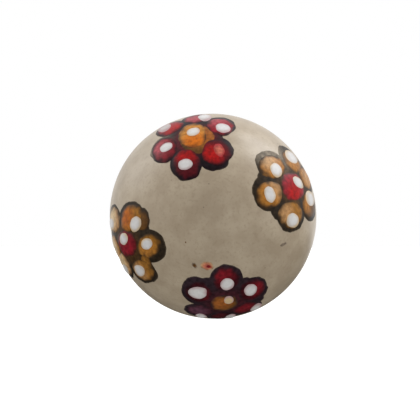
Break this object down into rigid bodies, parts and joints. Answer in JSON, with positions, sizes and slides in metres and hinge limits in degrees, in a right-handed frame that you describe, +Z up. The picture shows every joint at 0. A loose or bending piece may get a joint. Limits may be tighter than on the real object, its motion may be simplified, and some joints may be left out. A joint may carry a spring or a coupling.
{
  "type": "cabinet knob",
  "caption": "Round hand-painted glazed ceramic ball knob with enamel flowers on a short neck, in a metal collar, fixed through a door by a bolt, washer and nut.",
  "frame": {"origin": "centre of the collar's flat back, where it stands on the door, on the bolt's axis", "axes": "+Y along the bolt into the door, the ball towards -Y, +Z up as fitted, +X to the right seen from the front"},
  "size_m": [0.038, 0.072, 0.0381],
  "materials": {
    "glaze": "glossy greige glaze, faintly mottled",
    "dark_enamel": "brushed brown-black enamel under a clear gloss",
    "red_enamel": "brushed deep red enamel under a clear gloss",
    "ochre_enamel": "brushed ochre enamel under a clear gloss",
    "white_enamel": "raised off-white enamel under a clear gloss",
    "nickel_plate": "bright nickel-plated pressed metal",
    "zinc_plate": "zinc-plated steel",
    "cement": "matt grey setting cement"
  },
  "bodies": {
    "root": {"ceramic_knob": "glaze", "dark_outlines": "dark_enamel", "red_enamel": "red_enamel", "ochre_enamel": "ochre_enamel", "white_dots": "white_enamel", "base_collar": "nickel_plate", "set_bolt": "zinc_plate", "setting_cement": "cement", "washer": "zinc_plate", "hex_nut": "zinc_plate"}
  },
  "joints": []
}
